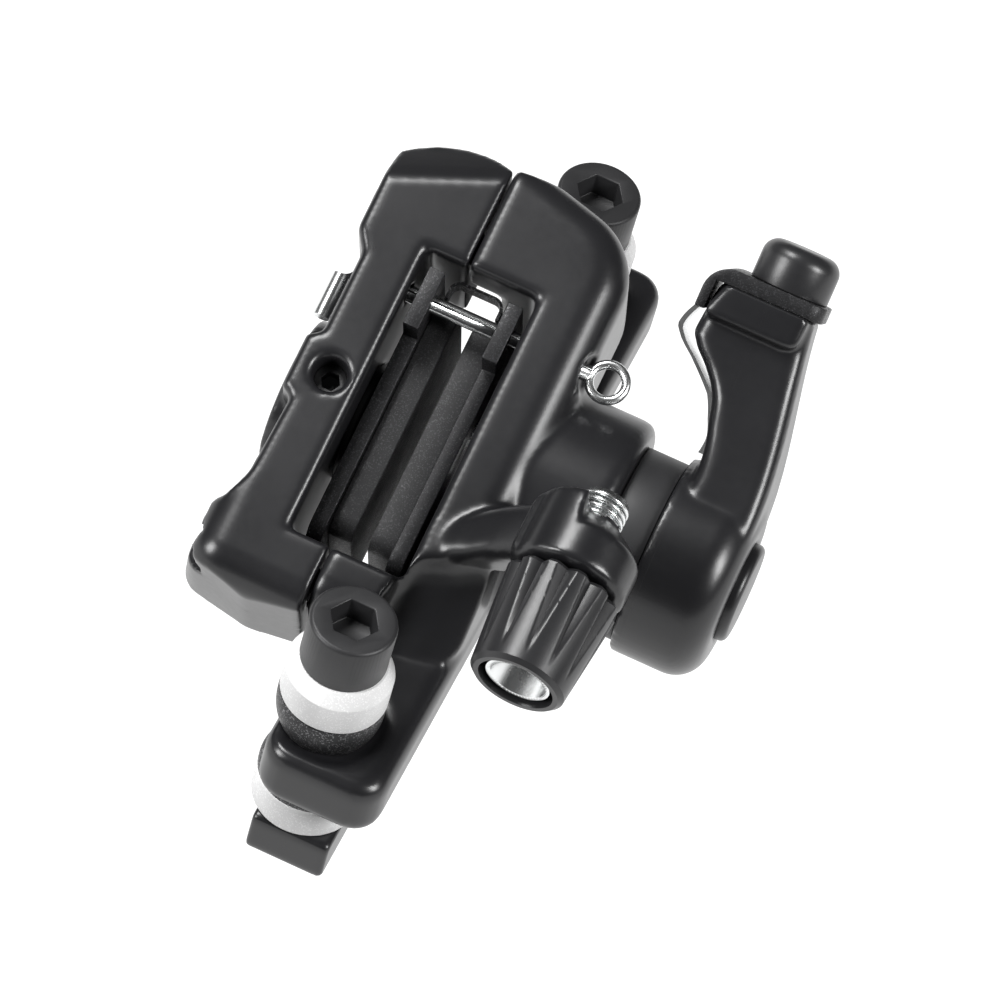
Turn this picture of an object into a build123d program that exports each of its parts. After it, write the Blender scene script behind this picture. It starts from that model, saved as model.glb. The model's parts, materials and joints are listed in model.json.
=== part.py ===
from build123d import *
import os
from math import cos, radians, sin

# A cable-pulled disc brake caliper for a bicycle, on its mount adapter, in millimetres.
# Row frame: the origin lies on the adapter's mounting face, midway between its tapped holes.
# X crosses the rotor towards the lever, Y follows the line of the mounting bolts, Z goes up them.
# Caliper frame (x, t, b): the row frame pitched about X. x is measured from the rotor's middle,
# t runs along the rotor, b points away from the wheel, and its origin is on the lever's axle.

os.makedirs("parts", exist_ok=True)

# Shared clearances
overrun = 2.0  # every cut passes its faces by this much
running_fit = 0.05  # radial play of turning and sliding pieces
thread_fit = 0.05  # radial play of a thread drawn as a plain shank
rest_gap = 0.05  # between pieces of different bodies that rest on each other

# Mount adapter
hole_spacing = 51.0  # the two tapped holes of the frame mount
bolt_spacing = 74.0  # the two mounting bolts
adapter_width = 9.6
bolt_inset = 5.6  # from the mounting face to the bolts
bar_top = 5.3
bar_thickness = 6.0
bar_overhang = 6.0  # past the bolts
bridge_drop = 1.5  # the low middle of the adapter, under the pads
bridge_thickness = 6.3
bridge_reach = 21.5
bridge_slope = 4.0
lobe_radius = 6.0
mount_thread = 6.0
adapter_round = 0.8

# Mounting bolts and their washer stacks
bolt_diameter = 6.0
head_diameter = 10.0
head_height = 6.8
head_round = 0.5
hex_across = 5.0
hex_depth = 3.2
bolt_tip_gap = 0.5
washer_diameter = 12.4
washer_bore = 6.8
lower_washer_height = 4.6
lower_bowl_height = 2.7
upper_bowl_height = 4.9
upper_washer_height = 4.2
washer_cone_height = 1.9  # on top of the upper washer
washer_cone_diameter = 10.4
bowl_foot = 10.8  # diameter of the bowl washer's narrow end
bowl_rim_share = 0.32  # straight rim of a bowl washer, of its height
seat_depth = 0.6  # the bowls stand in shallow seats in the ears
seat_diameter = 13.7
washer_round = 0.35
ear_thickness = 8.3

# Caliper frame
pitch = 26.0
rotor_inset = 11.6  # the rotor's middle from the mounting face
axle_shift = 1.0
axle_height = 24.1

# Pads, rotor slot and window
pad_gap = 2.0  # free space between the linings
lining_thickness = 3.0
plate_thickness = 1.9
lining_length = 30.0
lining_low = -11.0
lining_high = 7.6
plate_margin = 1.8  # of plate past each end of the lining
plate_length = lining_length + 2 * plate_margin
plate_low = -12.0
plate_high = 9.0
tab_width = 7.4
tab_high = 13.2
pad_round = 2.4
rotor_radius = 80.0
rotor_clearance = 2.0
rotor_drop = 72.0  # the wheel's axle below the lever's axle
slot_width = 4.4
window_half = 7.0
window_play = 1.4  # past each end of the plates
window_reach = plate_length / 2 + window_play

# Bodies of the caliper
body_top = 14.5
seam = -1.8
seam_gap = 0.2
side_reach = 15.8
inner_low = -4.0
inner_near = 25.6
inner_far = 32.2
far_corner_round = 9.0
top_round = 4.2
near_inner_round = 5.0
edge_round = 0.9
housing_radius = 13.6
housing_end = 24.9
housing_round = 1.6
flange_side = 4.4
flange_inner = -4.3
near_ear_end = 45.3
far_ear_end = 45.2
ear_inner = -10.5
ear_root = 27.0
ear_round = 3.6
ear_edge_round = 2.0
ear_slot_length = 9.0
outer_low = -3.0
outer_side = 15.3
outer_waist = 13.6
outer_near_side = 16.9
outer_near = 27.2
near_corner_round = 2.2
near_flare = 1.3  # the near block's foot stands out this much
near_plan_round = 3.0
near_wall_share = 0.45  # the most that this rounding takes of its wall
near_crown_share = 0.75  # the most that the top's rounding takes of the plan's
outer_far = 31.0
outer_far_bulge = 31.8
outer_far_side = 28.4
outer_far_round = 3.0
screw_boss_reach = 15.1
screw_boss_half = 3.4
adjuster_boss_radius = 9.0
adjuster_boss_end = 15.9

# Body clamp bolts
clamp_inset = 3.8  # beyond the window's ends
clamp_place = window_reach + clamp_inset
clamp_height = 9.0
clamp_diameter = 4.0
clamp_head_diameter = 7.0
clamp_head_height = 4.0
clamp_hex = 3.0
clamp_hex_depth = 2.0
clamp_play = 0.25
clamp_depth = 12.0
clamp_seat = 11.5

# Split pin across the window
pin_inset = 3.4  # from the plates' far end
pin_place = plate_length / 2 - pin_inset
tab_shift = 0.4  # the pads' tabs stand this much nearer than the pin
tab_middle = pin_place - tab_shift
pin_height = 10.7
pin_radius = 1.0
pin_wire = 0.55
pin_split = 0.12
eye_radius = 2.15
eye_place = 18.0
eye_seat_depth = 1.0
eye_seat_radius = 2.3
leg_place = 15.0
leg_bend = 1.3
leg_length = 6.8
leg_end = pin_place - leg_length

# Pad spring: a bent leaf between the pads, under the pin
leaf_half = 3.35
leaf_wall = 0.35
leaf_low = 7.0
leaf_width = 2.2
leaf_play = 0.2  # past the linings' far end
leaf_reach = 2.5
leaf_start = lining_length / 2 + leaf_play
leaf_bend = 1.4
leaf_far = leaf_start + leaf_reach

# Fixed-pad adjuster and its locking screw
adjuster_radius = 7.2
adjuster_end = 13.6
adjuster_hex = 5.0
adjuster_hex_depth = 4.0
set_screw_place = -10.6
set_screw_radius = 1.95
set_screw_length = 4.0
set_screw_hex = 2.0
set_screw_hex_depth = 1.6
set_screw_rim = 0.5

# Ball-ramp mechanism
foot_nose_radius = 6.6
foot_nose_length = 2.0
foot_thickness = 4.0
foot_radius = 8.9
ball_radius = 1.75
ball_circle = 5.9
ball_count = 3
ball_gap = 1.3
ball_play = 0.06
ramp_rise = 7.2  # the cam's tracks climb this much in a whole turn
ramp_back = 18.0  # degrees of track behind a ball at rest
ramp_ahead = 48.0  # degrees of track ahead of it
cam_plate_thickness = 3.0
cam_plate_radius = 8.6
shaft_radius = 5.0
thrust_washer_thickness = 1.5
thrust_washer_bore = 5.3
bearing_play = 0.05

# Dust boot and return spring
boot_radius = 11.0
boot_wall = 1.3
boot_gap = 0.1
spring_wire = 1.1
spring_radius = 7.2
spring_turns = 2.5

# Lever
hub_start = 30.1
hub_end = 40.7
hub_radius = 12.0
hub_round = 4.0
lever_angle = 20.0
arm_root = 6.0
arm_neck = 17.0
arm_bend = 25.0
arm_end = 32.0
arm_root_half = 9.0
arm_neck_half = 6.2
arm_bend_half = 4.6
arm_end_half = 4.5
arm_root_sides = (30.3, 40.3)
arm_neck_sides = (30.4, 39.4)
arm_bend_sides = (27.2, 37.9)
arm_end_sides = (25.2, 36.8)
arm_round = 1.7
arm_block_start = 27.9
arm_block_sides = (25.9, 36.3)
arm_block_height = 6.0
arm_block_round = 1.3

# Axle screw and cap
screw_radius = 3.0
screw_head_radius = 4.6
screw_head_height = 3.2
screw_hex = 4.0
screw_hex_depth = 2.0
screw_length = 14.0
cap_radius = 6.0
cap_proud = 1.2
cap_depth = 2.0
cap_round = 0.8

# Cable clamp on the lever
clamp_axis = 32.3
pinch_start = 23.4
pinch_end = 37.5
pinch_half = 4.9
pinch_thickness = 1.9
pinch_lip = 3.6
pinch_lip_wall = 1.2
pinch_round = 2.2
pinch_bend = 3.2
cable_bolt_radius = 2.5
cable_bolt_head_radius = 4.0
cable_bolt_head_height = 2.4
cable_bolt_length = 8.0
dome_radius = 4.7
dome_height = 5.2
dome_round = 1.9
guide_wall = 0.6
guide_half = 2.8
guide_places = (  # x and radius along the strip's inner face
    (29.7, 13.0), (29.8, 17.0), (28.2, 21.0), (26.4, 23.8), (25.4, 26.0), (25.2, 27.8), (25.6, 29.4)
)

# Barrel adjuster on the cable stop
stop_x = 25.0
stop_entry = -14.1
stop_height = 24.9
stop_tilt = 12.0
stop_length = 9.4
stop_radius = 7.4
stop_round = 2.0
stop_arm_round = 2.2
stop_arm_sections = (  # x, middle t, width along t, lowest and highest b
    (7.2, -11.6, 6.2, 8.6, 14.4),
    (12.5, -10.3, 6.9, 9.4, 15.3),
    (17.4, -8.9, 6.8, 13.4, 20.8),
    (22.0, -8.9, 7.6, 19.0, 28.4),
)
barrel_thread = 2.95
barrel_reach = 12.0
barrel_head_radius = 3.85
barrel_bore = 3.2
barrel_bore_depth = 10.5
cable_hole = 1.3
knob_length = 13.0
knob_start = 0.4
knob_wide = 6.8
knob_narrow = 5.6
knob_recess_radius = 4.5
knob_recess_depth = 2.4
knob_round = 0.6
flute_count = 12
flute_wide = 1.05
flute_narrow = 0.15
flute_share = 0.86  # of the knob's length

# Worked-out places
lean = radians(pitch)
travel = (0, cos(lean), sin(lean))
rise = (0, -sin(lean), cos(lean))
half_bolts = bolt_spacing / 2
half_holes = hole_spacing / 2
bar_low = bar_top - bar_thickness
ear_low = bar_top + lower_washer_height + lower_bowl_height - seat_depth
ear_top = ear_low + ear_thickness
upper_washer_low = ear_top - seat_depth + upper_bowl_height
head_low = upper_washer_low + upper_washer_height + washer_cone_height
head_top = head_low + head_height
lining_face = pad_gap / 2
plate_face = lining_face + lining_thickness
plate_back = plate_face + plate_thickness
foot_start = plate_back + rest_gap
foot_step = foot_start + foot_nose_length
foot_back = foot_step + foot_thickness
cam_face = foot_back + ball_gap
cam_back = cam_face + cam_plate_thickness
washer_face = cam_back + bearing_play
housing_wall = washer_face + thrust_washer_thickness + bearing_play
foot_bore = foot_radius + running_fit
shaft_bore = shaft_radius + running_fit


def spot(x, t, b):
    """Row-frame place of a point given in the caliper frame."""
    along = axle_shift + t * cos(lean) - b * sin(lean)
    up = axle_height + t * sin(lean) + b * cos(lean)
    return (x - rotor_inset, along, up)


def across(x):
    """Plane at right angles to x; its own axes are t and b, and it looks to +x."""
    return Plane(origin=spot(x, 0, 0), x_dir=travel, z_dir=(1, 0, 0))


def level(b):
    """Plane at right angles to b; its own axes are x and t, and it looks to +b."""
    return Plane(origin=spot(0, 0, b), x_dir=(1, 0, 0), z_dir=rise)


def blend(angle):
    """Unit vector in the t-b plane at an angle above t, in the row frame."""
    a = radians(angle)
    return tuple(cos(a) * p + sin(a) * q for p, q in zip(travel, rise))


def save(item, label):
    """Names a finished piece and writes its file."""
    item.part.label = label
    export_step(item.part, f"parts/{label}.step")


# Mount adapter: a bar with two bolt seats and two lobes for the frame's screws
with BuildPart() as mount_adapter:
    with BuildSketch(Plane.YZ.offset(-adapter_width)):
        end = half_bolts + bar_overhang
        rise_end = bridge_reach + bridge_slope
        bridge_top = bar_top - bridge_drop
        bridge_low = bridge_top - bridge_thickness
        with BuildLine():
            Polyline(
                (-end, bar_low), (-end, bar_top), (-rise_end, bar_top), (-bridge_reach, bridge_top),
                (bridge_reach, bridge_top), (rise_end, bar_top), (end, bar_top), (end, bar_low),
                (rise_end, bar_low), (bridge_reach, bridge_low),
                (-bridge_reach, bridge_low), (-rise_end, bar_low),
                close=True,
            )
        make_face()
        with Locations((-half_holes, 0), (half_holes, 0)):
            Circle(lobe_radius)
    extrude(amount=adapter_width)
    outer = mount_adapter.edges().filter_by(GeomType.LINE).filter_by(Axis.X)
    fillet(outer.group_by(Axis.Y)[0] + outer.group_by(Axis.Y)[-1], adapter_round)
    with BuildSketch(Plane.YZ.offset(-adapter_width - overrun)):
        with Locations((-half_holes, 0), (half_holes, 0)):
            Circle(mount_thread / 2)
    extrude(amount=adapter_width + 2 * overrun, mode=Mode.SUBTRACT)
    with BuildSketch(Plane.XY.offset(bar_low - overrun)):
        with Locations((-bolt_inset, -half_bolts), (-bolt_inset, half_bolts)):
            Circle(bolt_diameter / 2)
    extrude(amount=bar_thickness + 2 * overrun, mode=Mode.SUBTRACT)
save(mount_adapter, "mount_adapter")


def stack_ring(height, base, cone=0):
    """A plain thick washer standing on a base height, with or without a cone on top."""
    wide, hole, crown = washer_diameter / 2, washer_bore / 2, washer_cone_diameter / 2
    top = base + height
    crest = [(crown, top + cone), (hole, top + cone)] if cone else [(hole, top)]
    with BuildPart() as ring:
        with BuildSketch(Plane.XZ) as half:
            with BuildLine():
                Polyline((hole, base), (wide, base), (wide, top), *crest, close=True)
            make_face()
            fillet(half.vertices().group_by(Axis.X)[-1], washer_round)
        revolve(axis=Axis.Z)
    return ring.part


def stack_bowl(height, base, up):
    """A bowl washer: straight rim, rounded towards its narrow foot, foot up or down."""
    rim = height * bowl_rim_share
    foot, wide, hole = bowl_foot / 2, washer_diameter / 2, washer_bore / 2
    ends = (base + height, base) if up else (base, base + height)
    turn = ends[1] - rim if not up else ends[1] + rim
    with BuildPart() as bowl:
        with BuildSketch(Plane.XZ):
            with BuildLine():
                Polyline((foot, ends[0]), (hole, ends[0]), (hole, ends[1]), (wide, ends[1]), (wide, turn))
                TangentArc((wide, turn), (foot, ends[0]), tangent=(0, ends[0] - turn))
            make_face()
        revolve(axis=Axis.Z)
    return bowl.part


# Washer stacks and mounting bolts, near and far
for side, label in ((-1, "near"), (1, "far")):
    place = Pos(-bolt_inset, side * half_bolts, 0)
    pieces = {
        "lower_washer": stack_ring(lower_washer_height, bar_top),
        "lower_bowl_washer": stack_bowl(lower_bowl_height, bar_top + lower_washer_height, True),
        "upper_bowl_washer": stack_bowl(upper_bowl_height, ear_top - seat_depth, False),
        "upper_washer": stack_ring(upper_washer_height, upper_washer_low, washer_cone_height),
    }
    for name, solid in pieces.items():
        moved = place * solid
        moved.label = f"{label}_{name}"
        export_step(moved, f"parts/{label}_{name}.step")
    with BuildPart(Plane.XY.offset(head_low + rest_gap)) as mounting_bolt:
        with Locations((-bolt_inset, side * half_bolts)):
            Cylinder(head_diameter / 2, head_height, align=(Align.CENTER, Align.CENTER, Align.MIN))
        fillet(mounting_bolt.edges().group_by(Axis.Z)[-1], head_round)
        with BuildSketch(Plane.XY.offset(head_top + rest_gap)):
            with Locations((-bolt_inset, side * half_bolts)):
                RegularPolygon(hex_across / 2, 6, major_radius=False)
        extrude(amount=-hex_depth, mode=Mode.SUBTRACT)
        with BuildSketch(Plane.XY.offset(head_low + rest_gap)):
            with Locations((-bolt_inset, side * half_bolts)):
                Circle(bolt_diameter / 2 - thread_fit)
        extrude(amount=bar_low + bolt_tip_gap - head_low)
    save(mounting_bolt, f"{label}_mounting_bolt")

# Forms of the inner body: the bridge block beside the window
with BuildPart() as bridge_block:
    with BuildSketch(level(inner_low)) as plan:
        with BuildLine():
            Polyline(
                (seam, inner_far - edge_round),
                (side_reach / 4, inner_far),
                (side_reach, inner_far - far_corner_round / 3),
                (side_reach, -inner_near),
                (seam, -inner_near),
                (seam, -window_reach),
                (window_half, -window_reach),
                (window_half, window_reach),
                (seam, window_reach),
                close=True,
            )
        make_face()
        corners = plan.vertices().group_by(Axis.X)[-1].sort_by(Axis.Y)
        fillet(corners[-1], far_corner_round)
        fillet(plan.vertices().group_by(Axis.X)[-1].sort_by(Axis.Y)[0], near_inner_round)
    extrude(amount=body_top - inner_low)
    crown = bridge_block.faces().sort_by(Axis(spot(0, 0, 0), rise))[-1]
    sides = [e for e in crown.edges() if (e @ 0.5).X > window_half + edge_round - rotor_inset]
    fillet(sides, top_round)
    crown = bridge_block.faces().sort_by(Axis(spot(0, 0, 0), rise))[-1]
    inside = [e for e in crown.edges() if (e @ 0.5).X <= window_half + edge_round - rotor_inset]
    fillet(inside, edge_round)

# Forms of the inner body: the cam housing
with BuildPart() as housing_form:
    with BuildSketch(across(window_half)):
        Circle(housing_radius)
    extrude(amount=housing_end - window_half)
    fillet(housing_form.edges().group_by(Axis.X)[-1], housing_round)

# Forms of the inner body: the flange with its two ears
with BuildPart() as flange_form:
    with BuildSketch(Plane.XY.offset(ear_low)) as flange_plan:
        with BuildLine():
            Polyline(
                (flange_inner, -ear_root),
                (ear_inner, -ear_root),
                (ear_inner, -near_ear_end),
                (flange_side, -near_ear_end),
                (flange_side, far_ear_end),
                (ear_inner, far_ear_end),
                (ear_inner, ear_root),
                (flange_inner, ear_root),
                close=True,
            )
        make_face()
        tips = flange_plan.vertices().group_by(Axis.Y)
        fillet(tips[0] + tips[-1], ear_round)
    extrude(amount=ear_thickness)
    rims = flange_form.faces().sort_by(Axis.Z)
    ends = [e for e in rims[0].edges() + rims[-1].edges() if abs((e @ 0.5).Y) > ear_root]
    fillet(ends, ear_edge_round)

# Forms of the inner body: the cable stop, a bent arm with a round boss
stop_run = blend(-stop_tilt)
stop_origin = spot(stop_x, stop_entry, stop_height)


def stop_plane(s):
    """Plane across the cable line, s past the stop's entry face, looking to the lever."""
    origin = tuple(o + s * d for o, d in zip(stop_origin, stop_run))
    return Plane(origin=origin, x_dir=(-1, 0, 0), z_dir=stop_run)


with BuildPart() as stop_form:
    for x, middle, wide, low, high in stop_arm_sections:
        with BuildSketch(across(x)):
            with Locations((middle, (low + high) / 2)):
                RectangleRounded(wide, high - low, stop_arm_round)
    loft()
with BuildPart() as stop_boss:
    with BuildSketch(stop_plane(0)):
        Circle(stop_radius)
    extrude(amount=stop_length)
    fillet(stop_boss.edges().filter_by(GeomType.CIRCLE), stop_round)

# Inner body: the forms joined, then bored
with BuildPart() as inner_body:
    add(bridge_block.part)
    add(housing_form.part)
    add(flange_form.part)
    add(stop_form.part)
    add(stop_boss.part)
    with BuildSketch(across(window_half - overrun)):
        Circle(foot_bore)
    extrude(amount=housing_wall - window_half + overrun, mode=Mode.SUBTRACT)
    with BuildSketch(across(housing_wall - overrun)):
        Circle(shaft_bore)
    extrude(amount=housing_end - housing_wall + 2 * overrun, mode=Mode.SUBTRACT)
    with BuildSketch(across(seam - overrun)):
        with Locations((-clamp_place, clamp_height), (clamp_place, clamp_height)):
            Circle(clamp_diameter / 2)
    extrude(amount=clamp_depth + overrun - seam, mode=Mode.SUBTRACT)
    with BuildSketch(across(window_half - overrun)):
        with Locations((pin_place, pin_height)):
            Circle(pin_radius + running_fit)
    extrude(amount=side_reach - window_half + 2 * overrun, mode=Mode.SUBTRACT)
    with BuildSketch(across(side_reach - eye_seat_depth)):
        with Locations((pin_place, pin_height)):
            Circle(eye_seat_radius)
    extrude(amount=eye_seat_depth + overrun, mode=Mode.SUBTRACT)
    with BuildSketch(stop_plane(-overrun)):
        Circle(bolt_diameter / 2)
    extrude(amount=stop_length + 2 * overrun, mode=Mode.SUBTRACT)
    with BuildSketch(across(-slot_width / 2)):
        with Locations((0, -rotor_drop)):
            Circle(rotor_radius + rotor_clearance)
    extrude(amount=slot_width, mode=Mode.SUBTRACT)
    with BuildSketch(across(slot_width / 2 - overrun)):
        chamber = plate_length / 2 + rest_gap + running_fit
        with Locations((0, plate_low)):
            Rectangle(2 * chamber, plate_high - plate_low, align=(Align.CENTER, Align.MIN))
    extrude(amount=window_half - slot_width / 2 + overrun, mode=Mode.SUBTRACT)
    for side in (-1, 1):
        with BuildSketch(Plane.XY.offset(ear_low - overrun)):
            with Locations((-bolt_inset, side * half_bolts)):
                SlotOverall(ear_slot_length, washer_bore)
        extrude(amount=ear_thickness + 2 * overrun, mode=Mode.SUBTRACT)
        for face, sink in ((ear_top, -seat_depth), (ear_low, seat_depth)):
            with BuildSketch(Plane.XY.offset(face)):
                with Locations((-bolt_inset, side * half_bolts)):
                    Circle(seat_diameter / 2)
            extrude(amount=sink, mode=Mode.SUBTRACT)
save(inner_body, "inner_body")

# Outer body: a second half that holds the fixed pad and its adjuster
with BuildPart() as outer_body:
    split = seam - seam_gap
    with BuildSketch(level(outer_low)) as outer_plan:
        notch = outer_side - outer_waist
        with BuildLine():
            ThreePointArc(
                (split, outer_far), (split - outer_side / 2, outer_far_bulge), (-outer_side, outer_far_side)
            )
            Polyline(
                (-outer_side, outer_far_side),
                (-outer_side, window_reach - notch / 2),
                (-outer_waist, window_reach - 2 * notch),
                (-outer_waist, screw_boss_half + notch / 2),
                (-screw_boss_reach, screw_boss_half),
                (-screw_boss_reach, -screw_boss_half),
                (-outer_waist, -screw_boss_half - notch / 2),
                (-outer_waist - notch / 3, notch - window_reach),
                (-outer_near_side, -window_reach - notch / 3),
                (-outer_near_side, notch - outer_near),
                (-window_half - notch, -outer_near),
                (split, notch / 2 - outer_near),
                (split, -window_reach),
                (-window_half, -window_reach),
                (-window_half, window_reach),
                (split, window_reach),
                (split, outer_far),
            )
        make_face()
        corners = outer_plan.vertices()
        outside = corners.filter_by_position(Axis.X, -outer_near_side, -window_half - notch / 2)
        near_block = outside.filter_by_position(Axis.Y, -outer_near, -window_reach)
        near_wall = outer_near - window_reach - notch - notch / 3
        plan_round = min(near_plan_round, near_wall * near_wall_share)
        fillet(near_block, plan_round)
        far_corner = outside.sort_by(Axis.Y)[-1]
        fillet(far_corner, outer_far_round)
        fillet([v for v in outside if -window_reach < v.Y < window_reach + notch], edge_round)
    extrude(amount=body_top - outer_low)
    crown = outer_body.faces().sort_by(Axis(spot(0, 0, 0), rise))[-1]
    ends = [(e, level(body_top).to_local_coords(e @ 0.5)) for e in crown.edges()]
    soft = [e for e, v in ends if v.Y < -window_reach - edge_round and v.X < split - edge_round]
    fillet(soft, min(near_corner_round, plan_round * near_crown_share))
    crown = outer_body.faces().sort_by(Axis(spot(0, 0, 0), rise))[-1]
    ends = [(e, level(body_top).to_local_coords(e @ 0.5)) for e in crown.edges()]
    hard = [e for e, v in ends if v.Y > -window_reach - edge_round and v.X < split - edge_round / 2]
    fillet(hard, edge_round)
    for height, flare in ((outer_low, near_flare), (body_top - near_corner_round - edge_round, 0)):
        with BuildSketch(level(height)) as foot_plan:
            with BuildLine():
                Polyline(
                    (split, -window_reach - notch),
                    (split, notch / 2 - outer_near),
                    (-window_half - notch, -outer_near),
                    (-outer_near_side - flare, notch - outer_near),
                    (-outer_near_side - flare, -window_reach - notch / 3),
                    close=True,
                )
            make_face()
            fillet(foot_plan.vertices().group_by(Axis.X)[0], plan_round)
    loft(ruled=True)
    with BuildSketch(across(-adjuster_boss_end)):
        Circle(adjuster_boss_radius)
    extrude(amount=adjuster_boss_end - window_half)
    with BuildSketch(across(-adjuster_boss_end - overrun)):
        Circle(adjuster_radius + thread_fit)
    extrude(amount=adjuster_boss_end - window_half + 2 * overrun, mode=Mode.SUBTRACT)
    with BuildSketch(level(0)):
        with Locations((set_screw_place, 0)):
            Circle(set_screw_radius + thread_fit)
    extrude(amount=body_top + overrun, mode=Mode.SUBTRACT)
    with BuildSketch(level(body_top - set_screw_rim)):
        with Locations((set_screw_place, 0)):
            Circle(set_screw_radius + set_screw_rim)
    extrude(amount=overrun, mode=Mode.SUBTRACT)
    with BuildSketch(across(-outer_near_side - overrun)):
        with Locations((-clamp_place, clamp_height), (clamp_place, clamp_height)):
            Circle(clamp_diameter / 2 + clamp_play)
    extrude(amount=outer_near_side + 2 * overrun + split, mode=Mode.SUBTRACT)
    with BuildSketch(across(-clamp_seat)):
        with Locations((-clamp_place, clamp_height), (clamp_place, clamp_height)):
            Circle(clamp_head_diameter / 2 + clamp_play)
    extrude(amount=clamp_seat - outer_near_side - overrun, mode=Mode.SUBTRACT)
    with BuildSketch(across(-outer_side - overrun)):
        with Locations((pin_place, pin_height)):
            Circle(pin_radius + running_fit)
    extrude(amount=outer_side - window_half + 2 * overrun, mode=Mode.SUBTRACT)
save(outer_body, "outer_body")

# Body clamp bolts
for side, label in ((-1, "near"), (1, "far")):
    with BuildPart() as clamp_bolt:
        with BuildSketch(across(-clamp_seat)):
            with Locations((side * clamp_place, clamp_height)):
                Circle(clamp_head_diameter / 2)
        extrude(amount=-clamp_head_height)
        fillet(clamp_bolt.edges().group_by(Axis.X)[0], head_round)
        with BuildSketch(across(-clamp_seat - clamp_head_height)):
            with Locations((side * clamp_place, clamp_height)):
                RegularPolygon(clamp_hex / 2, 6, major_radius=False)
        extrude(amount=clamp_hex_depth, mode=Mode.SUBTRACT)
        with BuildSketch(across(-clamp_seat)):
            with Locations((side * clamp_place, clamp_height)):
                Circle(clamp_diameter / 2 - thread_fit)
        extrude(amount=clamp_seat + clamp_depth)
    save(clamp_bolt, f"{label}_body_bolt")

# Split pin: two half wires with an eye, its legs bent along the outer body
pin_level = level(pin_height)
with BuildLine(pin_level) as pin_path:
    Line((eye_place - eye_radius, pin_place), (leg_bend - leg_place, pin_place))
    RadiusArc((leg_bend - leg_place, pin_place), (-leg_place, pin_place - leg_bend), leg_bend)
    Line((-leg_place, pin_place - leg_bend), (-leg_place, leg_end))
pin_start = Plane(origin=pin_path.line @ 0, x_dir=travel, z_dir=(-1, 0, 0))
with BuildPart() as split_pin:
    with BuildSketch(pin_start):
        Circle(pin_radius)
    sweep(path=pin_path.line)
    with BuildSketch(across(leg_bend - leg_place)):
        with Locations((pin_place, pin_height)):
            Rectangle(pin_split, 2 * pin_radius + overrun)
    extrude(amount=eye_place - eye_radius - 2 * pin_radius + leg_place - leg_bend, mode=Mode.SUBTRACT)
    with Locations(pin_level * Pos(eye_place, pin_place, 0)):
        Torus(eye_radius, pin_wire)
save(split_pin, "split_pin")

# Pad spring: a leaf bent round the pads' far end
with BuildPart() as pad_spring:
    below = (Align.CENTER, Align.MAX)
    with BuildSketch(level(leaf_low)):
        for inset, mode in ((0, Mode.ADD), (leaf_wall, Mode.SUBTRACT)):
            with Locations((0, leaf_far - inset)):
                RectangleRounded(2 * (leaf_half - inset), leaf_far, leaf_bend - inset, align=below, mode=mode)
        with Locations((0, leaf_start)):
            Rectangle(2 * (leaf_half + overrun), leaf_far, align=below, mode=Mode.SUBTRACT)
    extrude(amount=leaf_width)
save(pad_spring, "pad_spring")

# Pads: a steel plate with a tab for the pin, and a lining
for side, label in ((-1, "fixed"), (1, "moving")):
    with BuildPart() as pad_plate:
        with BuildSketch(across(side * plate_face)) as outline:
            with Locations((0, plate_low)):
                RectangleRounded(
                    plate_length, plate_high - plate_low, pad_round, align=(Align.CENTER, Align.MIN)
                )
            with Locations((tab_middle, plate_high - pad_round)):
                Rectangle(tab_width, tab_high - plate_high + pad_round, align=(Align.CENTER, Align.MIN))
            with Locations((pin_place, pin_height)):
                Circle(pin_radius + 2 * running_fit, mode=Mode.SUBTRACT)
        extrude(amount=side * plate_thickness)
    save(pad_plate, f"{label}_pad_plate")
    with BuildPart() as pad_lining:
        with BuildSketch(across(side * lining_face)):
            with Locations((0, lining_low)):
                RectangleRounded(
                    lining_length, lining_high - lining_low, pad_round, align=(Align.CENTER, Align.MIN)
                )
        extrude(amount=side * lining_thickness)
    save(pad_lining, f"{label}_pad_lining")

# Fixed-pad adjuster with a hex socket, and the screw that locks it
with BuildPart() as pad_adjuster:
    with BuildSketch(across(-plate_back - rest_gap)):
        Circle(adjuster_radius)
    extrude(amount=plate_back + rest_gap - adjuster_end)
    chamfer(pad_adjuster.edges().filter_by(GeomType.CIRCLE), head_round)
    with BuildSketch(across(-adjuster_end)):
        RegularPolygon(adjuster_hex / 2, 6, major_radius=False)
    extrude(amount=adjuster_hex_depth, mode=Mode.SUBTRACT)
save(pad_adjuster, "pad_adjuster")

with BuildPart() as locking_screw:
    with BuildSketch(level(adjuster_radius + rest_gap)):
        with Locations((set_screw_place, 0)):
            Circle(set_screw_radius)
    extrude(amount=set_screw_length)
    with BuildSketch(level(adjuster_radius + rest_gap + set_screw_length)):
        with Locations((set_screw_place, 0)):
            RegularPolygon(set_screw_hex / 2, 6, major_radius=False)
    extrude(amount=-set_screw_hex_depth, mode=Mode.SUBTRACT)
save(locking_screw, "locking_screw")

# Ball-ramp mechanism: thrust foot, balls, cam shaft and thrust washer
track_radius = ball_radius + ball_play


def ball_places(r):
    """Spheres of a radius at the balls' places."""
    turns = [Rot(0, 0, 360 * n / ball_count) for n in range(ball_count)]
    places = [across(ball_face) * turn * Pos(ball_circle, 0, 0) for turn in turns]
    return [place * Sphere(r, mode=Mode.PRIVATE) for place in places]


ball_face = (foot_back + cam_face) / 2
with BuildPart() as thrust_foot:
    with BuildSketch(across(foot_start)):
        Circle(foot_nose_radius)
    extrude(amount=foot_nose_length)
    with BuildSketch(across(foot_step)):
        Circle(foot_radius)
    extrude(amount=foot_thickness)
    add(ball_places(track_radius), mode=Mode.SUBTRACT)
save(thrust_foot, "thrust_foot")

with BuildPart() as ramp_balls:
    add(ball_places(ball_radius))
save(ramp_balls, "ramp_balls")

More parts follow.
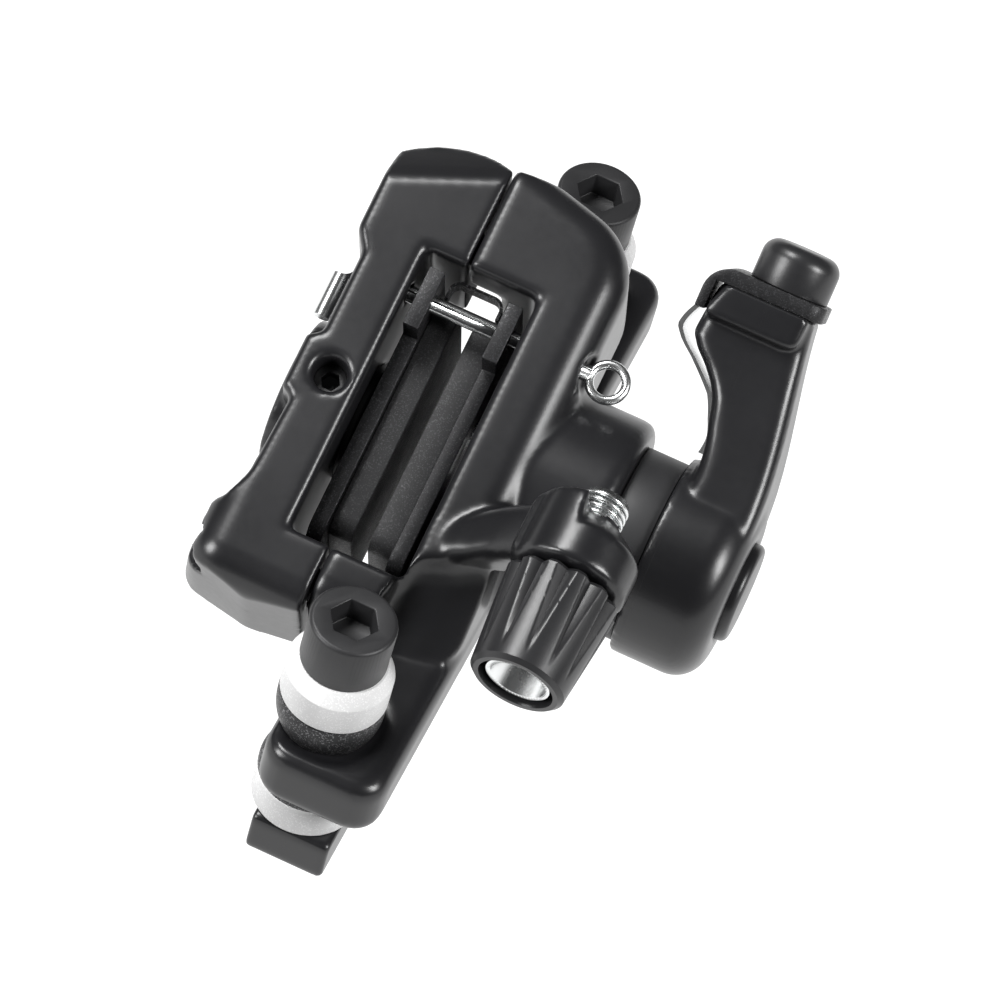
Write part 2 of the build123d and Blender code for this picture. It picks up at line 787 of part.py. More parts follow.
# The cam's tracks: each one climbs like a thread, so turning the cam drives the balls out
track_turn = (ramp_back + ramp_ahead) / 360
track_start = ball_face - ramp_rise * ramp_ahead / 360
with BuildPart() as cam_tracks:
    for n in range(ball_count):
        turned = across(track_start) * Rot(0, 0, 360 * n / ball_count - ramp_ahead)
        climb = turned * Helix(ramp_rise, ramp_rise * track_turn, ball_circle)
        with BuildSketch(Plane(origin=climb @ 0, z_dir=climb % 0)):
            Circle(track_radius)
        sweep(path=climb, is_frenet=True)

with BuildPart() as cam_shaft:
    with BuildSketch(across(cam_face)):
        Circle(cam_plate_radius)
    extrude(amount=cam_plate_thickness)
    add(cam_tracks.part, mode=Mode.SUBTRACT)
    with BuildSketch(across(cam_back)):
        Circle(shaft_radius)
    extrude(amount=hub_end - cap_depth - screw_head_height - cam_back)
    with BuildSketch(across(hub_end - screw_length - cap_depth)):
        Circle(screw_radius)
    extrude(amount=screw_length, mode=Mode.SUBTRACT)
save(cam_shaft, "cam_shaft")

with BuildPart() as thrust_washer:
    with BuildSketch(across(washer_face)):
        Circle(cam_plate_radius)
        Circle(thrust_washer_bore, mode=Mode.SUBTRACT)
    extrude(amount=thrust_washer_thickness)
save(thrust_washer, "thrust_washer")

# Dust boot between the housing and the lever's hub
with BuildPart() as dust_boot:
    boot_length = hub_start - housing_end - 2 * boot_gap
    with BuildSketch(across(housing_end + boot_gap)):
        Circle(boot_radius)
        Circle(boot_radius - boot_wall, mode=Mode.SUBTRACT)
    extrude(amount=boot_length)
save(dust_boot, "dust_boot")

# Return spring round the shaft, inside the boot
with BuildPart() as return_spring:
    spring_start = housing_end + boot_gap + spring_wire
    spring_pitch = (hub_start - housing_end - 2 * boot_gap - 2 * spring_wire) / spring_turns
    coil = across(spring_start) * Helix(spring_pitch, spring_pitch * spring_turns, spring_radius)
    with BuildSketch(Plane(origin=coil @ 0, z_dir=coil % 0)):
        Circle(spring_wire / 2)
    sweep(path=coil, is_frenet=True)
save(return_spring, "return_spring")

# Lever: hub and arm, lofted through four sections
arm_run = blend(lever_angle)
arm_side = blend(lever_angle + 90)


def arm_plane(r, x=0.0):
    """Plane across the arm at radius r; its own axes are x and the arm's upper side."""
    origin = tuple(o + r * d for o, d in zip(spot(x, 0, 0), arm_run))
    return Plane(origin=origin, x_dir=(-1, 0, 0), z_dir=arm_run)


arm_sections = (
    (arm_root, arm_root_sides, arm_root_half),
    (arm_neck, arm_neck_sides, arm_neck_half),
    (arm_bend, arm_bend_sides, arm_bend_half),
    (arm_end, arm_end_sides, arm_end_half),
)
with BuildPart() as hub_form:
    with BuildSketch(across(hub_start)):
        Circle(hub_radius)
    extrude(amount=hub_end - hub_start)
    fillet(hub_form.edges().group_by(Axis.X)[-1], hub_round)
with BuildPart() as block_form:
    low, high = arm_block_sides
    with BuildSketch(Plane(origin=spot((low + high) / 2, 0, 0), x_dir=(1, 0, 0), z_dir=arm_side)):
        with Locations((0, (arm_block_start + arm_end) / 2)):
            Rectangle(high - low, arm_end - arm_block_start)
    extrude(amount=arm_block_height)
    sides = block_form.edges().filter_by(Axis(spot(0, 0, 0), arm_side))
    fillet(sides.sort_by(Axis(spot(0, 0, 0), arm_run))[:2], arm_block_round)
    top = block_form.faces().sort_by(Axis(spot(0, 0, 0), arm_side))[-1]
    fillet(top.edges().sort_by(Axis(spot(0, 0, 0), arm_run))[:-1], arm_block_round / 2)
with BuildPart() as lever_arm:
    for r, sides, half in arm_sections:
        with BuildSketch(arm_plane(r, sum(sides) / 2)):
            RectangleRounded(sides[1] - sides[0], 2 * half, arm_round)
    loft()
    add(hub_form.part)
    add(block_form.part)
    with BuildSketch(across(hub_start - overrun)):
        Circle(shaft_radius + rest_gap)
    extrude(amount=hub_end - hub_start + 2 * overrun, mode=Mode.SUBTRACT)
    with BuildSketch(across(hub_end + overrun)):
        Circle(cap_radius + rest_gap)
    extrude(amount=-overrun - cap_depth - screw_head_height, mode=Mode.SUBTRACT)
    with BuildSketch(arm_plane(arm_end + overrun, clamp_axis)):
        Circle(cable_bolt_radius)
    extrude(amount=-overrun - cable_bolt_length, mode=Mode.SUBTRACT)
save(lever_arm, "lever_arm")

# Axle screw and the cap over it
with BuildPart() as axle_screw:
    head_start = hub_end - cap_depth - screw_head_height
    with BuildSketch(across(head_start)):
        Circle(screw_head_radius)
    extrude(amount=screw_head_height)
    with BuildSketch(across(head_start + screw_head_height)):
        RegularPolygon(screw_hex / 2, 6, major_radius=False)
    extrude(amount=-screw_hex_depth, mode=Mode.SUBTRACT)
    with BuildSketch(across(head_start)):
        Circle(screw_radius - thread_fit)
    extrude(amount=screw_head_height + cap_depth - screw_length)
save(axle_screw, "axle_screw")

with BuildPart() as axle_cap:
    with BuildSketch(across(hub_end - cap_depth)):
        Circle(cap_radius)
    extrude(amount=cap_depth + cap_proud)
    fillet(axle_cap.edges().group_by(Axis.X)[-1], cap_round)
save(axle_cap, "axle_cap")

# Cable clamp: pinch plate with a lip, bolt, domed cap, and the cable guide
with BuildPart() as pinch_plate:
    lip_end = arm_end - pinch_lip
    pinch_top = arm_end + pinch_thickness
    with BuildSketch(Plane(origin=spot(0, 0, 0), x_dir=(1, 0, 0), z_dir=arm_side)) as side_view:
        with BuildLine():
            Polyline(
                (pinch_start, lip_end),
                (pinch_start, pinch_top),
                (pinch_end, pinch_top),
                (pinch_end, arm_end),
                (pinch_start + pinch_lip_wall, arm_end),
                (pinch_start + pinch_lip_wall, lip_end),
                close=True,
            )
        make_face()
        fillet(side_view.vertices().sort_by(Axis.X)[:2].sort_by(Axis.Y)[-1], pinch_bend)
    extrude(amount=pinch_half, both=True)
    ends = pinch_plate.edges().filter_by(Axis(spot(0, 0, 0), arm_run)).group_by(Axis.X)[-1]
    fillet(ends, pinch_round)
    with BuildSketch(arm_plane(arm_end - overrun, clamp_axis)):
        Circle(cable_bolt_radius + thread_fit)
    extrude(amount=pinch_thickness + 2 * overrun, mode=Mode.SUBTRACT)
save(pinch_plate, "pinch_plate")

with BuildPart() as cable_bolt:
    with BuildSketch(arm_plane(arm_end + pinch_thickness + rest_gap, clamp_axis)):
        Circle(cable_bolt_head_radius)
    extrude(amount=cable_bolt_head_height)
    with BuildSketch(arm_plane(arm_end + pinch_thickness + rest_gap, clamp_axis)):
        Circle(cable_bolt_radius - thread_fit)
    extrude(amount=-cable_bolt_length)
save(cable_bolt, "cable_bolt")

with BuildPart() as bolt_cap:
    with BuildSketch(arm_plane(arm_end + pinch_thickness + rest_gap, clamp_axis)):
        Circle(dome_radius)
    extrude(amount=dome_height)
    rim = bolt_cap.edges().filter_by(GeomType.CIRCLE).sort_by(Axis(spot(0, 0, 0), arm_run))[-1]
    fillet(rim, dome_round)
    with BuildSketch(arm_plane(arm_end + pinch_thickness + rest_gap - overrun, clamp_axis)):
        Circle(cable_bolt_head_radius)
    extrude(amount=overrun + cable_bolt_head_height, mode=Mode.SUBTRACT)
save(bolt_cap, "bolt_cap")

# Cable guide: a bent strip along the arm's inner side
with BuildPart() as cable_guide:
    guide_plane = Plane(origin=spot(0, 0, 0), x_dir=(1, 0, 0), z_dir=arm_side)
    with BuildSketch(guide_plane):
        with BuildLine():
            inside = Spline(*guide_places)
            outside = Spline(*[(x - guide_wall, r) for x, r in guide_places])
            Line(inside @ 0, outside @ 0)
            Line(inside @ 1, outside @ 1)
        make_face()
    extrude(amount=guide_half, both=True)
save(cable_guide, "cable_guide")

# Barrel adjuster: a hollow bolt with a ribbed knob
with BuildPart() as adjuster_barrel:
    with BuildSketch(stop_plane(-knob_start)):
        Circle(barrel_thread)
    extrude(amount=barrel_reach + knob_start)
    with BuildSketch(stop_plane(-knob_start)):
        Circle(barrel_head_radius)
    extrude(amount=knob_recess_depth / 4 - knob_length)
    with BuildSketch(stop_plane(-knob_start - knob_length)):
        Circle(barrel_bore)
    extrude(amount=barrel_bore_depth, mode=Mode.SUBTRACT)
    with BuildSketch(stop_plane(-knob_start - knob_length)):
        Circle(cable_hole)
    extrude(amount=knob_length + barrel_reach + overrun, mode=Mode.SUBTRACT)
save(adjuster_barrel, "adjuster_barrel")

with BuildPart() as adjuster_knob:
    with BuildSketch(stop_plane(-knob_start)):
        Circle(knob_wide)
    with BuildSketch(stop_plane(-knob_start - knob_length)):
        Circle(knob_narrow)
    loft()
    fillet(adjuster_knob.edges().filter_by(GeomType.CIRCLE), knob_round)
    with BuildSketch(stop_plane(overrun)):
        Circle(barrel_head_radius + rest_gap)
    extrude(amount=-knob_length - 2 * overrun, mode=Mode.SUBTRACT)
    with BuildSketch(stop_plane(-knob_start - knob_length - overrun)):
        Circle(knob_recess_radius)
    extrude(amount=knob_recess_depth + overrun, mode=Mode.SUBTRACT)
    at_top = (Align.CENTER, Align.CENTER, Align.MAX)
    flute = Cone(flute_narrow, flute_wide, knob_length * flute_share, align=at_top, mode=Mode.PRIVATE)
    for n in range(flute_count):
        turned = stop_plane(-knob_start) * Rot(0, 0, 360 * n / flute_count)
        add(turned * Pos(knob_wide, 0, 0) * flute, mode=Mode.SUBTRACT)
save(adjuster_knob, "adjuster_knob")
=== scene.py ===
"""Dresses the cable-pulled disc brake caliper: painted castings, plated hardware, pads and a studio."""

import json
import logging
import math
from dataclasses import dataclass, field
from enum import Enum
from typing import Callable, Sequence, Union

import bmesh
import bpy
import numpy as np
from mathutils import Matrix, Vector

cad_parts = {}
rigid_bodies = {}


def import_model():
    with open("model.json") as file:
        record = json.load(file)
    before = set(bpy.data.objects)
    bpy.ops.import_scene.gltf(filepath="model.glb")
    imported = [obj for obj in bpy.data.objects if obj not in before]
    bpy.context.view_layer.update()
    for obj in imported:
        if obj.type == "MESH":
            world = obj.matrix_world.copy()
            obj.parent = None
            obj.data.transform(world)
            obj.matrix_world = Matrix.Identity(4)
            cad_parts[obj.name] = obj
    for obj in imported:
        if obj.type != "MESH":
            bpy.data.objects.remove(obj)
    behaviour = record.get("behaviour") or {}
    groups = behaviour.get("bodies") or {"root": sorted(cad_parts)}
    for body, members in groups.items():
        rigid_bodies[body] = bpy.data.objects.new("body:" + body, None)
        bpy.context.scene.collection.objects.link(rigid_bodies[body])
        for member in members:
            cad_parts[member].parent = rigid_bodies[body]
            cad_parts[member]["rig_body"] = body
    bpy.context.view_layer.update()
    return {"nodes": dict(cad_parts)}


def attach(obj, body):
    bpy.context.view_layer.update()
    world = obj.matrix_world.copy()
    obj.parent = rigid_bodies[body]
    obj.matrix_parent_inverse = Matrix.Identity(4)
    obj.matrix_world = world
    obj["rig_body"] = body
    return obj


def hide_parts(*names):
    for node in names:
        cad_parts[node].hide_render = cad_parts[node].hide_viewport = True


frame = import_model()
LOG = logging.getLogger("caliper")

MM = 0.001  # one millimetre in metres
STOP = (25.0, -14.1, 24.9)  # caliper-frame place of the cable stop's entry, in millimetres
CABLE_TILT = 12.0  # the cable line falls this many degrees across the caliper


class Surface(Enum):
    """Kinds of small relief that a finish can carry; the grained kind also has painted glints, a brighter
    base colour on some of its grains.
    """

    EVEN = "even"
    GRAIN_AND_PAINTED_GLINT = "grained"


@dataclass(frozen=True)
class CaliperFrame:
    """The caliper's pitched frame, in millimetres: x across the rotor, t along it, b away from the wheel."""

    pitch: float = 26.0
    inset: float = 11.6
    shift: float = 1.0
    height: float = 24.1

    def place(self, x: float, t: float, b: float) -> Vector:
        """Row-frame place, in metres, of a caliper-frame point."""
        a = math.radians(self.pitch)
        along = self.shift + t * math.cos(a) - b * math.sin(a)
        up = self.height + t * math.sin(a) + b * math.cos(a)
        return Vector((x - self.inset, along, up)) * MM

    def direction(self, x: float, t: float, b: float) -> Vector:
        """Row-frame unit vector of a caliper-frame direction."""
        return (self.place(x, t, b) - self.place(0, 0, 0)).normalized()

    def matrix(self) -> np.ndarray:
        """Rows of the caliper frame's axes."""
        a = math.radians(self.pitch)
        return np.array([[1, 0, 0], [0, math.cos(a), math.sin(a)], [0, -math.sin(a), math.cos(a)]])

    def local(self, points: np.ndarray) -> np.ndarray:
        """Caliper-frame points, in millimetres, of row-frame points in metres."""
        moved = points / MM - np.array([-self.inset, self.shift, self.height])
        return moved @ self.matrix().T

    def row(self, points: np.ndarray) -> np.ndarray:
        """Row-frame points, in metres, of caliper-frame points in millimetres."""
        return (points @ self.matrix() + np.array([-self.inset, self.shift, self.height])) * MM


CALIPER = CaliperFrame()


class Value:
    """A node socket that takes part in Python sums, each of which adds a Math node."""

    def __init__(self, shader: "Shader", socket: bpy.types.NodeSocket) -> None:
        """Keeps the socket and the shader that it belongs to."""
        self.shader = shader
        self.socket = socket

    def _math(self, operation: str, first: "Number", second: "Number" = 0.0) -> "Value":
        """Adds a Math node.

        Args:
            operation: the node's operation.
            first: its first input.
            second: its second input.

        Returns:
            The node's output.
        """
        node = self.shader.add("ShaderNodeMath", {"operation": operation}, {0: first, 1: second})
        return Value(self.shader, node.outputs[0])

    def __add__(self, other: "Number") -> "Value":
        """Sum."""
        return self._math("ADD", self, other)

    __radd__ = __add__

    def __sub__(self, other: "Number") -> "Value":
        """Difference."""
        return self._math("SUBTRACT", self, other)

    def __mul__(self, other: "Number") -> "Value":
        """Product."""
        return self._math("MULTIPLY", self, other)

    def __abs__(self) -> "Value":
        """Size without sign."""
        return self._math("ABSOLUTE", self)

    def below(self, limit: "Number") -> "Value":
        """1 where the value is below the limit, 0 elsewhere."""
        return self._math("LESS_THAN", self, limit)

    def above(self, limit: "Number") -> "Value":
        """1 where the value is above the limit, 0 elsewhere."""
        return self._math("GREATER_THAN", self, limit)


Number = Union[Value, float]


class Shader:
    """A material under construction, with its principled shader."""

    def __init__(self, name: str) -> None:
        """Makes an empty material of that name."""
        self.material = bpy.data.materials.new(name)
        self.material.use_nodes = True
        self.tree = self.material.node_tree
        self.principled = self.tree.nodes["Principled BSDF"]

    def add(self, kind: str, settings: dict, inputs: dict) -> bpy.types.Node:
        """Adds one node.

        Args:
            kind: the node's type.
            settings: attributes, which are set first.
            inputs: values or links by socket name or number.

        Returns:
            The node.
        """
        node = self.tree.nodes.new(kind)
        for key, value in settings.items():
            setattr(node, key, value)
        for key, value in inputs.items():
            self.join(node.inputs[key], value)
        return node

    def join(self, socket: bpy.types.NodeSocket, value: object) -> None:
        """Links or sets one input socket."""
        if isinstance(value, Value):
            self.tree.links.new(value.socket, socket)
        elif isinstance(value, bpy.types.NodeSocket):
            self.tree.links.new(value, socket)
        else:
            socket.default_value = value

    def coordinates(self) -> bpy.types.NodeSocket:
        """Object coordinates, in metres."""
        return self.add("ShaderNodeTexCoord", {}, {}).outputs["Object"]

    def axis(self, direction: Vector, origin: Vector) -> Value:
        """Distance along a direction from an origin, in millimetres."""
        kind = "ShaderNodeVectorMath"
        moved = self.add(kind, {"operation": "SUBTRACT"}, {0: self.coordinates(), 1: origin})
        along = self.add(kind, {"operation": "DOT_PRODUCT"}, {0: moved.outputs[0], 1: direction})
        return Value(self, along.outputs["Value"]) * (1 / MM)

    def noise(self, size: float, detail: float) -> Value:
        """Cloud noise whose features are about that many millimetres across."""
        inputs = {"Vector": self.coordinates(), "Scale": 1 / (size * MM), "Detail": detail}
        return Value(self, self.add("ShaderNodeTexNoise", {}, inputs).outputs[0])

    def cells(self, size: float) -> Value:
        """Random value for each grain of about that many millimetres."""
        inputs = {"Vector": self.coordinates(), "Scale": 1 / (size * MM)}
        node = self.add("ShaderNodeTexVoronoi", {}, inputs)
        grey = self.add("ShaderNodeSeparateColor", {}, {0: node.outputs["Color"]})
        return Value(self, grey.outputs[0])

    def mix(self, factor: Number, low: Sequence[float], high: Sequence[float]) -> bpy.types.NodeSocket:
        """Blend of two colours."""
        node = self.add(
            "ShaderNodeMix", {"data_type": "RGBA"}, {"Factor": factor, 6: (*low, 1), 7: (*high, 1)}
        )
        return node.outputs[2]

    def bump(self, height: Value, depth: float) -> None:
        """Joins a relief of that many millimetres to the shader's normal."""
        node = self.add("ShaderNodeBump", {}, {"Height": height, "Distance": depth * MM, "Strength": 1.0})
        self.join(self.principled.inputs["Normal"], node.outputs[0])


@dataclass(frozen=True)
class Finish:
    """One surface finish of the caliper's pieces."""

    name: str
    colour: tuple
    roughness: float
    metallic: float = 0.0
    coat: float = 0.0
    surface: Surface = Surface.EVEN
    grain: float = 0.5
    relief: float = 0.01
    # base colour of the grains with painted glints, brighter than the finish's own colour
    painted_glint_colour: tuple = (0.3, 0.3, 0.3)
    coat_roughness: float = 0.08
    clouds: float = 14.0
    detail: float = 3.0
    glint_level: float = 0.86
    glint_polish: float = 0.15
    seam_height: float = 3.0

    def build(self, seams: Sequence[tuple] = ()) -> bpy.types.Material:
        """Makes the material.

        Args:
            seams: mould lines as (direction, origin, half width in mm).

        Returns:
            The material.
        """
        shader = Shader(self.name)
        inputs = shader.principled.inputs
        inputs["Metallic"].default_value = self.metallic
        inputs["Coat Weight"].default_value = self.coat
        inputs["Coat Roughness"].default_value = self.coat_roughness
        wear = shader.noise(self.grain * self.clouds, self.detail)
        fine = shader.noise(self.grain, self.detail)
        height: Value = fine
        if self.surface is Surface.GRAIN_AND_PAINTED_GLINT:
            grains = shader.cells(self.grain)
            # Painted glints: the grains above the glint level get a brighter base colour that stands in for
            # their sparkle, as well as a lower roughness.
            glint = grains.above(self.glint_level)
            shader.join(inputs["Base Color"], shader.mix(glint, self.colour, self.painted_glint_colour))
            roughness = self.roughness + (wear - 0.5) * 0.2 - glint * self.glint_polish
            height = grains * 0.7 + fine * 0.6
        else:
            lighter = tuple(min(1.0, c * 1.35 + 0.002) for c in self.colour)
            shader.join(inputs["Base Color"], shader.mix(wear, self.colour, lighter))
            roughness = self.roughness + (wear - 0.5) * 0.1 + (fine - 0.5) * 0.05
        shader.join(inputs["Roughness"], roughness)
        for direction, origin, half in seams:
            line = abs(shader.axis(direction, origin)).below(half)
            height = height + line * self.seam_height
        shader.bump(height, self.relief)
        return shader.material


PAINT = Finish("black_paint", (0.008, 0.008, 0.009), 0.3, grain=0.9, relief=0.004)
OXIDE = Finish("black_oxide", (0.016, 0.016, 0.017), 0.46, 0.25, grain=0.35, relief=0.006)
PLASTIC = Finish("knob_plastic", (0.012, 0.012, 0.013), 0.34, relief=0.004)
RUBBER = Finish("boot_rubber", (0.013, 0.013, 0.014), 0.5, relief=0.006)
ZINC = Finish("white_zinc", (0.8, 0.8, 0.8), 0.5, 0.0, 0.0, Surface.GRAIN_AND_PAINTED_GLINT, 0.14, 0.012, (0.95, 0.95, 0.95))
BRIGHT = Finish("bright_steel", (0.66, 0.67, 0.67), 0.26, 1.0, grain=0.3, relief=0.003)
DARK_ZINC = Finish(
    "dark_washer", (0.02, 0.02, 0.021), 0.45, 0.5, 0.0, Surface.GRAIN_AND_PAINTED_GLINT, 0.13, 0.02, (0.16, 0.16, 0.165)
)
PRESSED = Finish(
    "pressed_steel", (0.012, 0.012, 0.013), 0.45, 0.4, 0.0, Surface.GRAIN_AND_PAINTED_GLINT, 0.12, 0.03, (0.045, 0.045, 0.048)
)
LINING = Finish(
    "friction_block", (0.020, 0.020, 0.021), 0.6, 0.1, 0.0, Surface.GRAIN_AND_PAINTED_GLINT, 0.11, 0.05, (0.045, 0.045, 0.048)
)


def smooth(mesh: bpy.types.Mesh, degrees: float) -> None:
    """Shades a mesh smooth, with edges sharper than the angle left hard."""
    mesh.polygons.foreach_set("use_smooth", [True] * len(mesh.polygons))
    mesh.set_sharp_from_angle(angle=math.radians(degrees))


def settle(item: bpy.types.Object) -> bpy.types.Object:
    """Turns an object's modifiers into plain mesh and removes them."""
    bpy.context.view_layer.update()
    depsgraph = bpy.context.evaluated_depsgraph_get()
    mesh = bpy.data.meshes.new_from_object(item.evaluated_get(depsgraph))
    item.modifiers.clear()
    item.data = mesh
    return item


def solid_copy(node: str, name: str) -> bpy.types.Object:
    """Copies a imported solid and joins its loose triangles.

    Args:
        node: the solid's name.
        name: the new object's name.

    Returns:
        The copy, at the origin.
    """
    mesh = frame["nodes"][node].data.copy()
    form = bmesh.new()
    form.from_mesh(mesh)
    bmesh.ops.remove_doubles(form, verts=form.verts, dist=0.002 * MM)
    bmesh.ops.dissolve_degenerate(form, edges=form.edges, dist=0.001 * MM)
    form.to_mesh(mesh)
    form.free()
    mesh.materials.clear()
    if mesh.has_custom_normals:
        mesh.normals_split_custom_set([(0, 0, 0)] * len(mesh.loops))
    item = bpy.data.objects.new(name, mesh)
    bpy.context.scene.collection.objects.link(item)
    return item


def move(item: bpy.types.Object, rule: Callable[[np.ndarray], np.ndarray]) -> None:
    """Moves an object's vertices by a rule.

    Args:
        item: the object.
        rule: gives the new caliper-frame places, in millimetres, for an array of old ones.
    """
    flat = np.empty(len(item.data.vertices) * 3)
    item.data.vertices.foreach_get("co", flat)
    moved = CALIPER.row(rule(CALIPER.local(flat.reshape(-1, 3))))
    item.data.vertices.foreach_set("co", moved.ravel())
    item.data.update()


def prism(outline: Sequence[tuple], low: float, high: float, axis: str) -> bmesh.types.BMesh:
    """Closed prism between two levels of the caliper frame.

    Args:
        outline: corners in the two other coordinates, in millimetres.
        low: where it starts.
        high: where it ends.
        axis: "x" for an outline in t and b, "b" for one in x and t.

    Returns:
        The prism, in row-frame metres.
    """
    form = bmesh.new()
    rings = []
    for level in (low, high):
        places = [(level, u, v) if axis == "x" else (u, v, level) for u, v in outline]
        rings.append([form.verts.new(CALIPER.place(*place)) for place in places])
    count = len(outline)
    form.faces.new(rings[0][::-1])
    form.faces.new(rings[1])
    for n in range(count):
        after = (n + 1) % count
        form.faces.new((rings[0][n], rings[0][after], rings[1][after], rings[1][n]))
    bmesh.ops.recalc_face_normals(form, faces=form.faces)
    return form


def loft(sections: Sequence[tuple], count: int = 28, fullness: float = 0.72) -> bmesh.types.BMesh:
    """Closed form through soft-cornered sections across x.

    Args:
        sections: (x, t, half width, low, high) of each section, in millimetres.
        count: corners of a section.
        fullness: 1 for an oval, less for squarer corners.

    Returns:
        The form, in row-frame metres.
    """
    form = bmesh.new()
    rings = []
    for x, t, half, low, high in sections:
        ring = []
        for n in range(count):
            turn = 2 * math.pi * n / count
            side = math.copysign(abs(math.cos(turn)) ** fullness, math.cos(turn))
            up = math.copysign(abs(math.sin(turn)) ** fullness, math.sin(turn))
            place = CALIPER.place(x, t + half * side, (low + high) / 2 + (high - low) / 2 * up)
            ring.append(form.verts.new(place))
        rings.append(ring)
    form.faces.new(rings[0][::-1])
    form.faces.new(rings[-1])
    for first, second in zip(rings, rings[1:]):
        for n in range(count):
            after = (n + 1) % count
            form.faces.new((first[n], first[after], second[after], second[n]))
    bmesh.ops.recalc_face_normals(form, faces=form.faces)
    return form


def join_form(item: bpy.types.Object, form: bmesh.types.BMesh) -> None:
    """Adds a form's faces to an object's mesh."""
    extra = bpy.data.meshes.new("extra")
    form.to_mesh(extra)
    form.free()
    whole = bmesh.new()
    whole.from_mesh(item.data)
    whole.from_mesh(extra)
    whole.to_mesh(item.data)
    whole.free()


def body_for(node: str) -> str:
    """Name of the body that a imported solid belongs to."""
    return frame["nodes"][node]["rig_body"]


def dress(item: bpy.types.Object, node: str, material: bpy.types.Material) -> bpy.types.Object:
    """Gives a finished copy its material and puts it in its solid's place."""
    item.data.materials.clear()
    item.data.materials.append(material)
    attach(item, body_for(node))
    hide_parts(node)
    LOG.info("%s dressed as %s", item.name, material.name)
    return item


@dataclass
class Casting:
    """A die-cast, painted piece with the soft corners of its mould."""

    node: str
    finish: Finish = PAINT
    grid: float = 0.36
    rounds: int = 5
    hard: float = 60.0
    seams: tuple = ()

    def extend(self, item: bpy.types.Object) -> None:
        """Adds forms to the solid before it is softened."""

    def shape(self, places: np.ndarray) -> np.ndarray:
        """Moves the softened casting's surface; places are caliper-frame millimetres."""
        return places

    def remesh(self, item: bpy.types.Object, rounds: int) -> None:
        """Lays an even mesh over the form and eases its corners."""
        grid = item.modifiers.new("grid", "REMESH")
        grid.mode = "VOXEL"
        grid.voxel_size = self.grid * MM
        ease = item.modifiers.new("ease", "SMOOTH")
        ease.factor = 0.5
        ease.iterations = rounds
        settle(item)

    def build(self) -> bpy.types.Object:
        """Makes the softened casting from its solid."""
        item = solid_copy(self.node, f"{self.node}_cast")
        self.extend(item)
        self.remesh(item, 1)
        move(item, self.shape)
        self.remesh(item, self.rounds)
        smooth(item.data, self.hard)
        LOG.info("%s has %d faces", item.name, len(item.data.polygons))
        return dress(item, self.node, self.finish.build(self.seams))


@dataclass
class InnerBody(Casting):
    """The half with the cam housing: its near end falls away to the ear, and its cable stop is domed."""

    node: str = "inner_body"
    grid: float = 0.4
    top: float = 14.5
    edge_x: tuple = (5.2, 5.9, 6.6, 7.9, 9.2, 12.0, 14.4, 17.2)
    edge_t: tuple = (-30.0, -21.2, -17.6, -15.3, -14.6, -13.6, -12.1, -10.1)
    drop_run: tuple = (0.0, 1.2, 3.0, 6.0, 11.0, 20.0)
    drop: tuple = (0.0, 1.7, 3.0, 4.5, 6.6, 9.5)
    side_limit: float = 20.0
    top_play: float = 0.3
    boss_radius: float = 7.8
    boss_start: float = -0.5
    boss_end: float = 9.9
    arm_side: float = -1.0
    arm_up: float = 2.0
    dome_radius: float = 6.8
    dome_end: float = 8.9
    dome_fall: float = 0.085
    mouth_radius: float = 3.2
    mouth_side: float = -1.5
    bolt_place: float = 22.0
    bolt_height: float = 9.0
    plug_radius: float = 2.2
    plug_start: float = 6.2
    plug_end: float = 12.6
    plug_corners: int = 24
    ear_level: float = -3.8
    near_limit: float = -27.0
    stop_arm: tuple = (
        (7.6, -12.9, 1.6, 8.0, 13.4),
        (9.6, -11.9, 2.6, 9.0, 14.9),
        (12.2, -10.6, 3.4, 10.0, 16.6),
        (14.7, -9.4, 3.5, 11.5, 18.6),
        (17.6, -8.6, 3.5, 13.5, 21.6),
        (20.4, -8.8, 3.7, 16.5, 26.0),
    )

    def extend(self, item: bpy.types.Object) -> None:
        """Fills the near bolt hole where the near end is cut away, and rounds the stop's arm."""
        turns = [2 * math.pi * n / self.plug_corners for n in range(self.plug_corners)]
        size = self.plug_radius
        ring = [(size * math.cos(a) - self.bolt_place, size * math.sin(a) + self.bolt_height) for a in turns]
        join_form(item, prism(ring, self.plug_start, self.plug_end, "x"))
        join_form(item, loft(self.stop_arm))

    def near_end(self, x: np.ndarray, t: np.ndarray, b: np.ndarray) -> np.ndarray:
        """Heights b with the near end lowered to its slope, but not below the ear's top."""
        edge = np.interp(x, self.edge_x, self.edge_t)
        slope = self.top - np.interp(edge - t, self.drop_run, self.drop)
        turn = math.radians(CALIPER.pitch)
        slope = np.maximum(slope, (self.ear_level - t * math.sin(turn)) / math.cos(turn))
        beside = (x > self.edge_x[0]) & (x < self.side_limit) & (t > self.near_limit)
        low = beside & (t < edge) & (b > slope) & (b < self.top + self.top_play)
        return np.where(low, slope, b)

    def shape(self, places: np.ndarray) -> np.ndarray:
        """Lowers the near end, and rounds the stop's far end."""
        x, t, b = places.T.copy()
        b = self.near_end(x, t, b)
        a = math.radians(CABLE_TILT)
        dt, db = t - STOP[1], b - STOP[2]
        run = dt * math.cos(a) - db * math.sin(a)
        side = x - STOP[0]
        up = dt * math.sin(a) + db * math.cos(a)
        ring = np.hypot(side, up)
        boss = (ring < self.boss_radius) & (run > self.boss_start) & (run < self.boss_end)
        near = boss & ((side > self.arm_side) | (up > self.arm_up))
        shrink = np.where(near & (ring > self.dome_radius), self.dome_radius / np.maximum(ring, 1e-6), 1.0)
        side, up = side * shrink, up * shrink
        end = self.dome_end - self.dome_fall * np.minimum(ring, self.dome_radius) ** 2
        beyond_mouth = near & (ring > self.mouth_radius) & (side > self.mouth_side)
        held = np.where(beyond_mouth, np.minimum(run, end), run)
        t = np.where(near, STOP[1] + held * math.cos(a) + up * math.sin(a), t)
        b = np.where(near, STOP[2] - held * math.sin(a) + up * math.cos(a), b)
        return np.stack((np.where(near, STOP[0] + side, x), t, b), axis=1)


